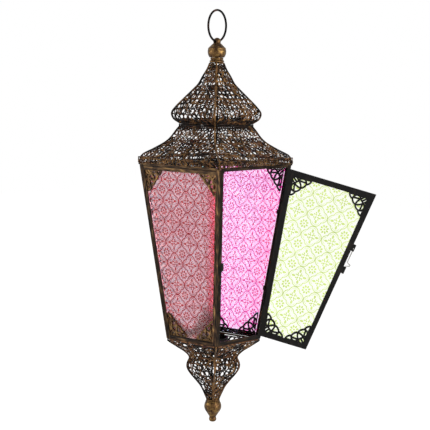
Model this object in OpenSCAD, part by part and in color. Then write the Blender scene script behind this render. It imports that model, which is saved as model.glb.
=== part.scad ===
// Four-sided hanging candle lantern: four patterned glass sides in a folded sheet body that
// widens upwards, a two-tier openwork roof, an openwork basket below, turned finials at both
// ends, a swinging ring at the top and one glazed door.
// Heights are measured from the bottom of the glazed body. The whole model is then lowered, so
// that the origin is the inner top of the hanging ring, where a hook holds it. +Z is up.

/* [Glazed body] */
// Height of the glazed body
body_h = 246; // [210:1:290]
// Width of the body across its top
body_top_w = 150.6; // [136:0.2:170]
// Width of the body across its bottom
body_bottom_w = 94; // [92:0.5:106]
// Width of each leg of the folded corner posts
post_leg = 7.5; // [6.8:0.1:9]
// Thickness of the folded sheet
sheet_t = 1.2; // [1:0.1:1.4]
// Depth of the posts' folded returns at both sides of the door's opening
post_return = 3.6; // [2.4:0.1:4.2]
// Height of the rails across the top of the three glazed sides
top_rail_h = 7; // [5:0.5:10]
// Height of the header over the door
header_h = 2.4; // [1.6:0.2:4]
// Height of the bottom rails
bottom_rail_h = 5.8; // [4:0.2:8]
// Extra height of the bottom rail behind the pink glass
back_rail_rise = 2; // [0:0.1:3]

/* [Glass] */
// Thickness of the glass panes
pane_t = 2.4; // [2:0.1:2.8]
// Thickness of the corner brackets' tracery
tracery_t = 1; // [0.8:0.1:1.2]
// Width of the bars of the tracery
tracery_bar = 2.4; // [1:0.1:2.6]
// Length of the tracery along each side of its corner
tracery_leg = 30; // [20:0.5:34]
// Thickness of the tabs that hold the panes
tab_t = 1; // [0.8:0.1:1.2]
// Height of the tabs that hold the panes
tab_h = 6; // [5:0.5:14]

/* [Door] */
// Angle at which the door stands open
door_open = 128; // [90:1:150]
// Thickness of the door
door_t = 5; // [4.6:0.1:5.6]
// Width of the door's stiles at their top, and height of its top rail
stile_w = 8; // [7:0.1:9]
// Width of the door's stiles at their foot, and height of its bottom rail
stile_foot_w = 6.4; // [5.6:0.1:7]
// Length of the door's tracery along each side of its corner
door_tracery_leg = 27; // [20:0.5:28]
// Gap at the hinged side of the door
hinge_gap = 0.8; // [0.6:0.1:1.2]
// Gap at the top of the door's free side
free_gap_top = 6.6; // [5.6:0.1:8]
// Gap at the bottom of the door's free side, where the latch springs
free_gap_bottom = 10.8; // [8:0.1:12]
// Gap above and below the door
end_gap = 1; // [0.8:0.1:1.6]
// Radius of the hinge pins
hinge_pin_r = 0.9; // [0.7:0.05:1]
// Radius of the hinge knuckles
knuckle_r = 1.9; // [1.8:0.05:2.2]
// Length of each hinge knuckle
knuckle_l = 8; // [6:0.5:11]
// Width of the hinge leaves
leaf_w = 5; // [3.6:0.1:5.4]
// Thickness of the hinge leaves
leaf_t = 0.8; // [0.6:0.05:0.9]

/* [Latch] */
// Radius of the latch wire
wire_r = 0.7; // [0.5:0.05:0.8]
// Distance of the straight latch wire from the door's edge
wire_out = 2.4; // [2.2:0.1:2.5]
// Length of the bent nose of the latch wire along the edge
nose_l = 5.6; // [4.6:0.2:8]
// Height of the latch blocks
latch_block_h = 10; // [8:0.5:12]
// Distance between the two latch blocks
latch_span = 24; // [20:0.5:30]
// Width of the latch blocks across the door's thickness
latch_block_w = 3.8; // [3.4:0.1:4.4]

/* [Roof] */
// Height of the openwork band under the eave
eave_band_h = 4; // [3:0.5:8]
// How far the eave's rods stand out past the top of the body
eave_lip = 0.3; // [0:0.1:1]
// Height of the lower roof
lower_roof_h = 43; // [34:1:60]
// Width of the waist between the two roofs
waist_w = 72.2; // [60:0.2:80]
// Height of the upper roof
upper_roof_h = 83.4; // [70:0.5:110]
// Width of the upper roof's rim
rim_w = 88; // [82:0.5:100]
// Width of the upper roof at its top
peak_w = 13.6; // [12:0.2:13.6]
// Half width of the corner ribs
rib_r = 1.4; // [1.1:0.1:1.6]
// Thickness of the corner ribs
rib_t = 2; // [1.4:0.1:2.4]
// Radius of the straight hoop rods
hoop_r = 1.3; // [1:0.1:1.5]
// Thickness of the openwork panels
lace_t = 1; // [0.8:0.1:1.3]

/* [Basket] */
// Height of the basket
basket_h = 83.5; // [70:0.5:100]
// Width of the basket's neck
neck_w = 47.6; // [42:0.2:56]
// Width of the basket's bulge below the neck
bulge_w = 52.6; // [48:0.2:62]
// Width of the basket at its foot
foot_w = 12; // [10.4:0.2:12.4]

/* [Finials] */
// Radius of the ball of the upper finial
ball_r = 12.9; // [11.6:0.1:14]
// Radius of the knob that carries the ring
knob_r = 5.3; // [5:0.1:6]
// Radius of the round collar under the upper finial
collar_r = 10.2; // [9.6:0.1:11]
// Height of the round collar
collar_h = 7; // [5:0.5:9]
// Radius of the ball of the lower finial
drop_r = 12.2; // [10:0.1:13]
// Radius of the round collar over the lower finial
foot_collar_r = 10.4; // [9:0.1:10.4]
// Height of the round collar over the lower finial
foot_collar_h = 4; // [3:0.5:6]
// Length of the lower finial under its collar
drop_l = 28.5; // [26:0.5:36]
// Radius of the threaded studs of the finials
stud_r = 2.2; // [1.8:0.1:2.6]
// Radius of the nuts on the studs, across their corners
nut_r = 4; // [3.6:0.1:4.2]
// Height of the nuts
nut_h = 3; // [2:0.2:4]

/* [Hanging ring] */
// Radius of the ring, to the middle of its wire
ring_r = 21.6; // [18:0.2:26]
// Radius of the ring's wire
ring_wire_r = 1.5; // [1.2:0.1:1.6]
// Turn of the ring's plane from the Y axis
ring_turn = 7; // [0:1:30]

/* [Candle cup] */
// Inside radius of the candle cup
cup_r = 19.8; // [17:0.1:22]
// Height of the candle cup
cup_h = 14; // [10:0.5:18]
// Height of the cup's rim over the bottom of the body
cup_rim = 2; // [1:0.5:8]
// Thickness of the cup's wall
cup_wall = 0.8; // [0.6:0.1:1.2]
// Width of the straps that carry the cup
strap_w = 8; // [6:0.5:10]
// Thickness of the straps
strap_t = 1.2; // [1:0.1:1.6]
// Radius of the rivet through cup and straps
rivet_r = 1.5; // [1.2:0.1:2]

/* [Hidden] */

// Clearances: what is soldered or clipped, what turns, and where two bodies pass
seat_gap = 0.1;
rod_gap = 0.3;
pin_gap = 0.05;
swing_gap = 0.4;
// One overrun for all cuts, and the lap of one bent panel strip on the next
over = 1;
lap = 0.3;
round_fn = 48;
rod_fn = 24;

// The four sides, counted anticlockwise from the front
FRONT = 0;
DOOR = 1;
BACK = 2;
LEFT = 3;
quarter = 90;

// Leaning sides of the body
lean = atan((body_top_w - body_bottom_w) / 2 / body_h);
face_h = body_h / cos(lean);
edge_turn = atan((body_top_w - body_bottom_w) / 2 / face_h);
function face_half(w) = body_bottom_w / 2 + (body_top_w - body_bottom_w) / 2 * w / face_h;

// Stack of each glazed side, inwards from the face of the sheet
tracery_y = sheet_t;
pane_y = tracery_y + tracery_t + seat_gap;
tab_y = pane_y + pane_t + seat_gap;
pane_inset = tab_y + max(tab_t, tracery_t) + rod_gap;
pane_end = 2;
tab_end_shares = [0.28, 0.72];
tab_stagger_share = 0.06;
tab_reach = 0.9;

// Door, drawn shut in the plane of its side and then turned about its pins
door_w0 = bottom_rail_h + end_gap;
door_w1 = face_h - header_h - end_gap;
door_skin = 1.2;
door_web = 1.4;
groove_gap = 0.12;
door_pane_inset = door_web + groove_gap * 2;
hinge_y = -(knuckle_r + seat_gap / 2);
hinge_u = body_bottom_w / 2 - post_leg - hinge_gap / 2;
hinge_shares = [0.2, 0.8];
knuckle_gap = 0.25;
leaf_back = knuckle_r + swing_gap;
function free_gap(w) = free_gap_bottom + (free_gap_top - free_gap_bottom) * w / face_h;
function door_right(w) = face_half(w) - post_leg - hinge_gap;
function door_left(w) = face_half(w) - post_leg - free_gap(w);
function stile(w) = stile_foot_w + (stile_w - stile_foot_w) * (w - door_w0) / (door_w1 - door_w0);
free_turn = atan((door_left(door_w1) - door_left(door_w0)) / (door_w1 - door_w0));

// Latch on the door's free edge, measured down from the top of its upper block
latch_top_share = 0.682;
latch_w = face_h * latch_top_share;
latch_cheek = 0.8;
latch_web = 0.8;
latch_pivot = 0.6 * latch_block_h;
nose_z = -latch_block_h - latch_span * 0.84;
nose_out = free_gap(latch_w + nose_z) * cos(free_turn) - rod_gap - wire_r;
latch_reach = wire_out + wire_r + rod_gap / 2 + latch_web;
wire_end = 2 * latch_block_h + latch_span + 2 * wire_r;

// Stop tab on the near post, inside the free edge of the shut door
stop_w_share = 0.425;
stop_h = 11;
stop_lap = 1.2;
stop_gap = 0.5;

// Levels of the roof, from the top of the body upwards
eave_w = body_top_w + 2 * eave_lip;
eave_z0 = body_h + seat_gap + hoop_r;
eave_band_z = eave_z0 + hoop_r + rod_gap;
eave_z1 = eave_band_z + eave_band_h + rod_gap + hoop_r;
lower_z0 = eave_z1 + hoop_r + rod_gap + lap;
lower_z1 = lower_z0 + lower_roof_h;
waist_z = lower_z1 + lap + rod_gap + hoop_r;
upper_z0 = waist_z + hoop_r + rod_gap + rib_r;
upper_z1 = upper_z0 + upper_roof_h;
collar_z = upper_z1 + lap + rod_gap;

// Half widths of the openwork, as shares of a height and of the step between two widths
lower_shares = [[0, 1], [0.09, 0.93], [0.27, 0.65], [0.49, 0.35], [0.64, 0.22], [0.86, 0.09], [1, 0]];
under_shares = [[0, 0], [0.07, 0.76], [0.165, 1]];
over_shares = [[0.26, 0.9], [0.39, 0.7], [0.555, 0.435], [0.645, 0.3], [0.785, 0.175],
    [0.895, 0.07], [1, 0]];
neck_shares = [[0, 1], [0.11, 0.53], [0.175, 0.25], [0.25, 0.04], [0.295, 0]];
bulge_shares = [[0.365, 0.72], [0.425, 1]];
foot_shares = [[0.485, 0.96], [0.57, 0.8], [0.69, 0.5], [0.78, 0.3], [0.89, 0.14], [1, 0]];
function profile(shares, z, h, from_w, to_w) =
    [for (s = shares) [(from_w + (to_w - from_w) * s[1]) / 2, z + h * s[0]]];
lower_profile = profile(lower_shares, lower_z0, lower_roof_h, waist_w, eave_w - 2 * rib_r);
upper_profile = concat(
    profile(under_shares, upper_z0, upper_roof_h, waist_w, rim_w),
    profile(over_shares, upper_z0, upper_roof_h, peak_w, rim_w));
basket_top_w = body_bottom_w - 2 * rib_r;
basket_z = -seat_gap - 2 * hoop_r - rod_gap - lap;
basket_profile = concat(
    profile(neck_shares, basket_z, -basket_h, neck_w, basket_top_w),
    profile(bulge_shares, basket_z, -basket_h, neck_w, bulge_w),
    profile(foot_shares, basket_z, -basket_h, foot_w, bulge_w));
hole_share = 0.37;
lace_margin = (rib_t / 2 + rod_gap) * sqrt(2) + lace_t * 0.75;

// Turned parts
foot_z = basket_z - basket_h - lap - rod_gap;
ball_z = collar_z + collar_h + ball_r * 0.62;
shoulder_z = ball_z + ball_r * 0.39;
shoulder_r = ball_r * 0.95;
ring_hole_gap = 0.9;
ring_hole_r = ring_wire_r + ring_hole_gap;
ring_z = shoulder_z + ball_r * 0.706;
knob_top = ring_z + knob_r;
ring_drop = 0.2;
finial_neck_r = knob_r * 0.86;
stud_end = 2;
stud_l = collar_h + nut_h + stud_end;
foot_stud_l = foot_collar_h + nut_h + stud_end;
nut_seat = 0.1;
hook_z = ring_z + ring_drop + 2 * ring_r - ring_wire_r;

// Candle cup
cup_floor_z = cup_rim - cup_h;
rivet_head_r = rivet_r * 1.8;
rivet_head_t = 0.8;
rivet_sink_t = cup_wall * 0.75;
rivet_cone_gap = 0.2;
rivet_cone_z = cup_wall - pin_gap - rivet_sink_t;

antique = [0.42, 0.32, 0.2];
blackened = [0.15, 0.14, 0.12];

// The whole model hangs below the hook
module from_hook() {
    translate([0, 0, -hook_z]) children();
}

// A side's own frame: x across it, z up its slope, y inwards from its outer face
module on_face(side) {
    from_hook()
        rotate([0, 0, quarter * side])
            translate([0, -body_bottom_w / 2, 0])
                rotate([lean, 0, 0])
                    children();
}

// Flat plate in a side's frame, t thick, its outer face y inside the side's face
module plate(points, y, t) {
    translate([0, y + t, 0])
        rotate([quarter, 0, 0])
            linear_extrude(t)
                polygon(points);
}

// Strip along one slanted edge of a side, from inset a to inset b, between two heights
module edge_strip(hand, a, b, w0, w1, y, t) {
    plate([
        [hand * (face_half(w0) - a), w0], [hand * (face_half(w1) - a), w1],
        [hand * (face_half(w1) - b), w1], [hand * (face_half(w0) - b), w0]
    ], y, t);
}

// Strip across a side, held back from both of its slanted edges
module cross_strip(left_inset, right_inset, w0, w1, y, t) {
    plate([
        [-(face_half(w0) - left_inset), w0], [face_half(w0) - right_inset, w0],
        [face_half(w1) - right_inset, w1], [-(face_half(w1) - left_inset), w1]
    ], y, t);
}

// Round rod between two points
module rod(a, b, r) {
    d = b - a;
    translate(a)
        rotate([0, acos(d[2] / norm(d)), atan2(d[1], d[0])])
            cylinder(h = norm(d), r = r, $fn = rod_fn);
}

// Outline of a bar of half width r that is bent through a row of flat points
function unit(v) = v / norm(v);
function left_of(v) = [-v[1], v[0]];
function mitre(before, after) = (before + after) / (1 + before * after);
function bar_side(points, i) =
    let (last = len(points) - 1,
        before = left_of(unit(points[max(i, 1)] - points[max(i, 1) - 1])),
        after = left_of(unit(points[min(i, last - 1) + 1] - points[min(i, last - 1)])))
    mitre(before, after);
function bent_bar(points, r) = concat(
    [for (i = [0 : len(points) - 1]) points[i] + r * bar_side(points, i)],
    [for (i = [len(points) - 1 : -1 : 0]) points[i] - r * bar_side(points, i)]);

// Post at the corner where a side meets the next one, its flanges mitred in the corner's plane
module corner_post(side) {
    color(antique) {
        mitred(side, 1) on_face(side) post_flange(1, side == DOOR ? post_return : sheet_t);
        mitred(side + 1, -1)
            on_face(side + 1) post_flange(-1, side + 1 == DOOR ? post_return : sheet_t);
    }
}
module mitred(side, hand) {
    intersection() {
        children();
        from_hook()
            rotate([0, 0, quarter * side])
                translate([0, 0, -over])
                    linear_extrude(body_h + 2 * over)
                        polygon([[0, 0], [hand * body_top_w, -body_top_w], [0, -body_top_w]]);
    }
}
module post_flange(hand, edge_t) {
    edge_strip(hand, 0, post_leg, 0, face_h, 0, sheet_t);
    edge_strip(hand, post_leg - sheet_t, post_leg, 0, face_h, 0, edge_t);
}
module corner_post_near() corner_post(FRONT);
module corner_post_right() corner_post(DOOR);
module corner_post_far() corner_post(BACK);
module corner_post_left() corner_post(LEFT);

// Folded rails across the top of the glazed sides
module top_rails() {
    color(antique)
        for (side = [FRONT, BACK, LEFT])
            on_face(side) cross_strip(post_leg, post_leg, face_h - top_rail_h, face_h, 0, sheet_t);
}

// Shallow header over the door
module door_header() {
    color(antique)
        on_face(DOOR) cross_strip(post_leg, post_leg, face_h - header_h, face_h, 0, sheet_t);
}

// Rails across the bottom of all four sides
module bottom_rails() {
    color(antique)
        for (side = [FRONT, DOOR, BACK, LEFT])
            on_face(side)
                cross_strip(post_leg, post_leg, 0,
                    bottom_rail_h + (side == BACK ? back_rail_rise : 0), 0, sheet_t);
}

// Glass of one fixed side
module fixed_pane(side) {
    on_face(side) cross_strip(pane_inset, pane_inset, pane_end, face_h - pane_end, pane_y, pane_t);
}
module glass_red() color([0.85, 0.25, 0.3, 0.6]) fixed_pane(FRONT);
module glass_pink() color([0.95, 0.5, 0.8, 0.6]) fixed_pane(BACK);
module glass_blue() color([0.45, 0.8, 0.9, 0.6]) fixed_pane(LEFT);

// Tabs soldered inside the posts, which hold the three fixed panes
module pane_tabs() {
    color(blackened)
        for (side = [FRONT, BACK, LEFT], hand = [-1, 1], share = tab_end_shares) {
            w = face_h * (share + (side == LEFT ? tab_stagger_share : 0));
            on_face(side)
                edge_strip(hand, sheet_t + seat_gap, pane_inset + tab_reach, w, w + tab_h, tab_y, tab_t);
        }
}

// The door's plates: along its hinged or free edge, and across it between two insets
module door_edge_strip(hand, foot_w, head_w, y, t) {
    foot = hand > 0 ? door_right(door_w0) : door_left(door_w0);
    head = hand > 0 ? door_right(door_w1) : door_left(door_w1);
    plate([
        [hand * foot, door_w0], [hand * head, door_w1],
        [hand * (head - head_w), door_w1], [hand * (foot - foot_w), door_w0]
    ], y, t);
}
module door_cross_strip(inset0, inset1, w0, w1, y, t) {
    plate([
        [-(door_left(w0) - inset0), w0], [door_right(w0) - inset0, w0],
        [door_right(w1) - inset1, w1], [-(door_left(w1) - inset1), w1]
    ], y, t);
}

// Scalloped tracery that fills a corner of the given angle, in its own plane: three petals grow from
// a foot near the corner to the cusps of the scallops
module tracery(angle, leg) {
    function at(share) = leg * (share[0] * [1, 0] + share[1] * [cos(angle), sin(angle)]);
    function other(share) = [share[1], share[0]];
    cusp_shares = [[1, 0], [0.75, 0.25], [0.5, 0.5], [0.25, 0.75], [0, 1]];
    foot_share = [0.34, 0.15];
    vein_share = [0.735, 0.17];
    stub_share = [0.2, 0];
    hub_share = (foot_share + other(foot_share)) / 2;
    scallop_share = 0.14;
    loop_share = 0.45;
    leaf_share = 0.1;
    far = leg * 2;
    intersection() {
        polygon([[0, 0], [far, 0], 2 * far * [cos(angle / 2), sin(angle / 2)],
            far * [cos(angle), sin(angle)]]);
        union() {
            for (i = [1 : len(cusp_shares) - 1])
                arc_bar(at(cusp_shares[i - 1]), at(cusp_shares[i]), scallop_share);
            arc_bar(at(foot_share), at(cusp_shares[1]), loop_share);
            arc_bar(at(cusp_shares[3]), at(other(foot_share)), loop_share);
            arc_bar(at(foot_share), at(cusp_shares[2]), leaf_share);
            arc_bar(at(cusp_shares[2]), at(other(foot_share)), leaf_share);
            bar(at(foot_share), at(vein_share));
            bar(at(other(foot_share)), at(other(vein_share)));
            bar(at(foot_share), at(other(foot_share)));
            bar(at(foot_share), at(stub_share));
            bar(at(other(foot_share)), at(other(stub_share)));
            bar([0, 0], at(hub_share));
            for (share = concat([for (i = [1 : 3]) cusp_shares[i]], [foot_share, other(foot_share)]))
                translate(at(share)) circle(r = tracery_bar / 2, $fn = rod_fn);
            for (a = [0, angle])
                bar([0, 0], leg * [cos(a), sin(a)]);
        }
    }
}

// Curved bar between two points, bulging to the right of the way by a share of their distance
module arc_bar(a, b, bulge_share) {
    d = b - a;
    bulge = norm(d) * bulge_share;
    r = (norm(d) ^ 2 / 4 + bulge ^ 2) / (2 * bulge);
    half_angle = asin(norm(d) / (2 * r));
    translate((a + b) / 2)
        rotate(atan2(d[1], d[0]))
            translate([0, r - bulge])
                intersection() {
                    difference() {
                        circle(r = r + tracery_bar / 2, $fn = rod_fn);
                        circle(r = r - tracery_bar / 2, $fn = rod_fn);
                    }
                    polygon(concat([[0, 0]], [for (share = [-1 : 0.5 : 1])
                        2 * r * [sin(half_angle * share), -cos(half_angle * share)]]));
                }
}
module bar(a, b) {
    d = b - a;
    translate(a)
        rotate(atan2(d[1], d[0]))
            translate([0, -tracery_bar / 2])
                square([norm(d), tracery_bar]);
}

// Four traceries in the corners of an opening, whose half widths at its two heights are given
module tracery_set(left, right, w0, w1, y, leg) {
    for (side = [[-1, left], [1, right]], top = [false, true]) {
        half = side[1];
        turn = atan((half[1] - half[0]) / (w1 - w0));
        translate([side[0] * half[top ? 1 : 0], y + tracery_t, top ? w1 : w0])
            rotate([quarter, 0, 0])
                linear_extrude(tracery_t)
                    mirror([side[0] > 0 ? 1 : 0, 0])
                        mirror([0, top ? 1 : 0])
                            tracery(quarter + (top ? -turn : turn), leg);
    }
}

// Tracery on the glass of a fixed side, in layers at the given depths
module fixed_tracery(side, layers) {
    w0 = bottom_rail_h;
    w1 = face_h - top_rail_h;
    half = [face_half(w0) - post_leg, face_half(w1) - post_leg];
    color(blackened)
        on_face(side)
            for (y = layers)
                tracery_set(half, half, w0, w1, y, tracery_leg);
}
module tracery_front() fixed_tracery(FRONT, [tracery_y, tab_y]);
module tracery_back() fixed_tracery(BACK, [tab_y]);
module tracery_left() fixed_tracery(LEFT, [tracery_y, tab_y]);

// Four straight rods around the object at one level, each between two corner ribs
module hoop(half, z) {
    reach = half - (rib_t / 2 + rod_gap) * sqrt(2) - hoop_r;
    from_hook()
        for (side = [FRONT, DOOR, BACK, LEFT])
            rotate([0, 0, quarter * side])
                rod([-reach, -half, z], [reach, -half, z], hoop_r);
}

// Corner ribs, bent in the diagonal planes through a profile of half widths and levels
module ribs(points) {
    from_hook()
        for (side = [FRONT, DOOR, BACK, LEFT])
            rotate([quarter, 0, quarter * side - quarter / 2])
                translate([0, 0, -rib_t / 2])
                    linear_extrude(rib_t)
                        polygon(bent_bar([for (p = points) [p[0] * sqrt(2), p[1]]], rib_r));
}

// One pierced strip of an openwork panel, between two points of its profile
module lace_strip(p, q) {
    d = q - p;
    l = norm(d);
    n = floor(2 * (min(p[0], q[0]) - lace_margin) / l);
    slope = (q[0] - p[0]) / l;
    low = p[0] - lace_margin - slope * lap;
    high = q[0] - lace_margin + slope * lap;
    translate([0, -p[0], p[1]])
        rotate([atan2(d[0], d[1]), 0, 0])
            translate([0, lace_t / 2, 0])
                rotate([quarter, 0, 0])
                    linear_extrude(lace_t)
                        difference() {
                            polygon([[-low, -lap], [low, -lap], [high, l + lap], [-high, l + lap]]);
                            if (n > 0)
                                for (i = [0 : n - 1])
                                    translate([(i - (n - 1) / 2) * l, l / 2])
                                        circle(r = l * hole_share, $fn = rod_fn);
                        }
}

// Four openwork panels, each bent through a profile
module lace(points) {
    from_hook()
        for (side = [FRONT, DOOR, BACK, LEFT])
            rotate([0, 0, quarter * side])
                for (i = [0 : len(points) - 2])
                    lace_strip(points[i], points[i + 1]);
}

// Eave: two hoops with a pierced band between them
eave_half = eave_w / 2;
module eave_hoops() {
    color(antique) {
        hoop(eave_half, eave_z0);
        hoop(eave_half, eave_z1);
    }
}
module eave_lace() {
    color(blackened)
        lace([[eave_half, eave_band_z + lap], [eave_half, eave_band_z + eave_band_h - lap]]);
}

// Lower roof
lower_rib_foot = [[eave_half, body_h + seat_gap], [eave_half, eave_z1]];
lower_rib_head = [[waist_w / 2, waist_z + hoop_r]];
module lower_roof_ribs() {
    color(antique) ribs(concat(lower_rib_foot, lower_profile, lower_rib_head));
}
module lower_roof_lace() color(blackened) lace(lower_profile);
module waist_hoop() color(antique) hoop(waist_w / 2, waist_z);

// Upper roof, whose ribs stand on the heads of the lower ones and end under the collar
upper_rib_foot = [[waist_w / 2, waist_z + hoop_r + rod_gap]];
upper_rib_head = [[peak_w / 2, collar_z - seat_gap]];
module upper_roof_ribs() {
    color(antique) ribs(concat(upper_rib_foot, upper_profile, upper_rib_head));
}
module upper_roof_lace() color(blackened) lace(upper_profile);

// Turned collar with two beads, drilled for a stud
module beaded_collar(r, h) {
    bead = h / 4;
    difference() {
        rotate_extrude($fn = round_fn) {
            square([r - bead, h]);
            translate([r - bead, bead]) circle(r = bead, $fn = rod_fn);
            translate([r - 1.6 * bead, h - bead]) circle(r = bead, $fn = rod_fn);
        }
        translate([0, 0, -over]) cylinder(h = h + 2 * over, r = stud_r + pin_gap, $fn = rod_fn);
    }
}
module roof_collar() {
    color(antique) from_hook() translate([0, 0, collar_z]) beaded_collar(collar_r, collar_h);
}

// Upper finial: ball, sloping shoulder and knob turned in one piece with its stud
module top_finial() {
    base = collar_z + collar_h + seat_gap;
    base_r = ball_r * 0.72;
    neck_z = ring_z - ring_hole_r;
    color(antique)
        from_hook()
            difference() {
                union() {
                    rotate_extrude($fn = round_fn)
                        intersection() {
                            translate([0, base]) square([ball_r + over, knob_top - base + over]);
                            union() {
                                intersection() {
                                    translate([0, ball_z]) circle(r = ball_r, $fn = round_fn);
                                    translate([0, base]) square([ball_r + over, shoulder_z - base]);
                                }
                                polygon([[0, base], [base_r, base], [ball_r, ball_z],
                                    [shoulder_r, shoulder_z], [knob_r, neck_z], [finial_neck_r, neck_z],
                                    [finial_neck_r, ring_z], [0, ring_z]]);
                                translate([0, knob_top - knob_r]) circle(r = knob_r, $fn = round_fn);
                            }
                        }
                    translate([0, 0, base - stud_l])
                        cylinder(h = stud_l + over, r = stud_r, $fn = rod_fn);
                }
                translate([0, 0, ring_z])
                    rotate([quarter, 0, ring_turn])
                        cylinder(h = 2 * ball_r, r = ring_hole_r, center = true, $fn = rod_fn);
            }
}

// Hexagonal nut on a stud
module nut() {
    difference() {
        cylinder(h = nut_h, r = nut_r, $fn = 6);
        translate([0, 0, -over]) cylinder(h = nut_h + 2 * over, r = stud_r + pin_gap, $fn = rod_fn);
    }
}
module top_nut() color(blackened) from_hook() translate([0, 0, collar_z - nut_seat - nut_h]) nut();

// Basket
module basket_hoop() color(antique) hoop(basket_top_w / 2, -seat_gap - hoop_r);
basket_rib_top = [[basket_top_w / 2, -seat_gap]];
basket_rib_foot = [[foot_w / 2, foot_z + seat_gap]];
module basket_ribs() color(antique) ribs(concat(basket_rib_top, basket_profile, basket_rib_foot));
module basket_lace() color(blackened) lace(basket_profile);
module foot_collar() {
    color(antique)
        from_hook() translate([0, 0, foot_z - foot_collar_h]) beaded_collar(foot_collar_r, foot_collar_h);
}

// Lower finial: a drop with a small ball, turned in one piece with its stud
module bottom_finial() {
    top = foot_z - foot_collar_h - seat_gap;
    drop_z = top - drop_r * 0.5;
    tip_r = drop_r * 0.44;
    tip_bead_r = drop_r * 0.31;
    waist_r = tip_r * 0.9;
    tip_z = top - drop_l + tip_bead_r;
    color(antique)
        from_hook() {
            rotate_extrude($fn = round_fn)
                intersection() {
                    translate([0, top - drop_l - over]) square([drop_r + over, drop_l + over]);
                    union() {
                        translate([0, drop_z]) circle(r = drop_r, $fn = round_fn);
                        polygon([[0, drop_z], [drop_r * 0.9, drop_z - drop_r * 0.42],
                            [waist_r, tip_z + tip_bead_r], [waist_r, tip_z], [0, tip_z]]);
                        translate([tip_r - tip_bead_r, tip_z]) circle(r = tip_bead_r, $fn = rod_fn);
                        translate([0, tip_z - tip_bead_r]) square([tip_r - tip_bead_r, 2 * tip_bead_r]);
                    }
                }
            translate([0, 0, top - over]) cylinder(h = foot_stud_l + over, r = stud_r, $fn = rod_fn);
        }
}
module bottom_nut() color(blackened) from_hook() translate([0, 0, foot_z + nut_seat]) nut();

// Tealight cup, riveted to two crossed straps that reach the basket's ribs
module candle_cup() {
    color(blackened)
        from_hook()
            translate([0, 0, cup_floor_z])
                difference() {
                    cylinder(h = cup_h, r = cup_r + cup_wall, $fn = round_fn);
                    translate([0, 0, cup_wall]) cylinder(h = cup_h, r = cup_r, $fn = round_fn);
                    translate([0, 0, -over])
                        cylinder(h = cup_wall + 2 * over, r = rivet_r + pin_gap, $fn = rod_fn);
                    translate([0, 0, rivet_cone_z])
                        rivet_cone(rivet_sink_t + over, rivet_cone_gap);
                }
}
// Cone that widens upwards from the rivet's shank to its head and on at the same slope
module rivet_cone(h, gap) {
    slope = (rivet_head_r - rivet_r) / rivet_sink_t;
    cylinder(h = h, r1 = rivet_r + gap, r2 = rivet_r + gap + slope * h, $fn = rod_fn);
}
strap_z = cup_floor_z - seat_gap - strap_t;
basket_half_at_strap = lookup(-strap_z, [for (p = basket_profile) [-p[1], p[0]]]);
strap_reach = basket_half_at_strap * sqrt(2) - 2 * rib_r - rod_gap;
module cup_straps() {
    taper = strap_reach - (strap_w - rib_t) / 2;
    end = [[taper, strap_w / 2], [strap_reach, rib_t / 2],
        [strap_reach, -rib_t / 2], [taper, -strap_w / 2]];
    color(blackened)
        from_hook()
            difference() {
                for (turn = [-quarter / 2, quarter / 2])
                    rotate([0, 0, turn])
                        translate([0, 0, strap_z])
                            linear_extrude(strap_t)
                                polygon(concat(end, -end));
                translate([0, 0, strap_z - over])
                    cylinder(h = strap_t + 2 * over, r = rivet_r + pin_gap, $fn = rod_fn);
            }
}
module cup_rivet() {
    top = cup_floor_z + cup_wall - pin_gap;
    bottom = strap_z - pin_gap;
    color(antique)
        from_hook() {
            translate([0, 0, bottom - rivet_head_t])
                cylinder(h = rivet_head_t, r = rivet_head_r, $fn = rod_fn);
            translate([0, 0, bottom - rivet_head_t / 2])
                cylinder(h = top - bottom + rivet_head_t / 2, r = rivet_r, $fn = rod_fn);
            translate([0, 0, cup_floor_z + rivet_cone_z]) rivet_cone(rivet_sink_t, 0);
        }
}

// The hinge axis runs along the slanted gap between the right post and the door
module on_hinge() {
    on_face(DOOR)
        translate([hinge_u, hinge_y, 0])
            rotate([0, edge_turn, 0])
                children();
}

// Turn of the open door about its pins, for shapes drawn shut in the side's frame
module door_swing() {
    on_hinge()
        rotate([0, 0, door_open])
            rotate([0, -edge_turn, 0])
                translate([-hinge_u, -hinge_y, 0])
                    children();
}

// One leaf of a hinge: a plate beside the axis and its knuckles, each a count of lengths up
module hinge_leaf(hand, steps) {
    hinge_l = 3 * knuckle_l + 2 * knuckle_gap;
    difference() {
        union() {
            translate([hand > 0 ? leaf_back : -leaf_back - leaf_w, -hinge_y - seat_gap / 2 - leaf_t, 0])
                cube([leaf_w, leaf_t, hinge_l]);
            for (i = steps)
                translate([0, 0, i * (knuckle_l + knuckle_gap)]) {
                    cylinder(h = knuckle_l, r = knuckle_r, $fn = rod_fn);
                    translate([hand > 0 ? 0 : -leaf_back - over, -hinge_y - seat_gap / 2 - leaf_t, 0])
                        cube([leaf_back + over, leaf_t, knuckle_l]);
                }
        }
        translate([0, 0, -over])
            cylinder(h = hinge_l + 2 * over, r = hinge_pin_r + pin_gap, $fn = rod_fn);
    }
}
module post_hinge_leaves() {
    color(blackened)
        on_hinge()
            for (share = hinge_shares)
                translate([0, 0, face_h * share]) hinge_leaf(1, [0, 2]);
}
module door_hinge_leaves() {
    color(blackened)
        on_hinge()
            rotate([0, 0, door_open])
                for (share = hinge_shares)
                    translate([0, 0, face_h * share]) hinge_leaf(-1, [1]);
}
module hinge_pins() {
    head_t = 0.8;
    head_r = hinge_pin_r * 1.6;
    pin_l = 3 * knuckle_l + 2 * knuckle_gap;
    color(antique)
        on_hinge()
            for (share = hinge_shares)
                translate([0, 0, face_h * share]) {
                    translate([0, 0, -pin_gap - head_t / 2])
                        cylinder(h = pin_l + 2 * pin_gap + head_t, r = hinge_pin_r, $fn = rod_fn);
                    for (z = [-pin_gap - head_t, pin_l + pin_gap])
                        translate([0, 0, z]) cylinder(h = head_t, r = head_r, $fn = rod_fn);
                }
}

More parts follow.
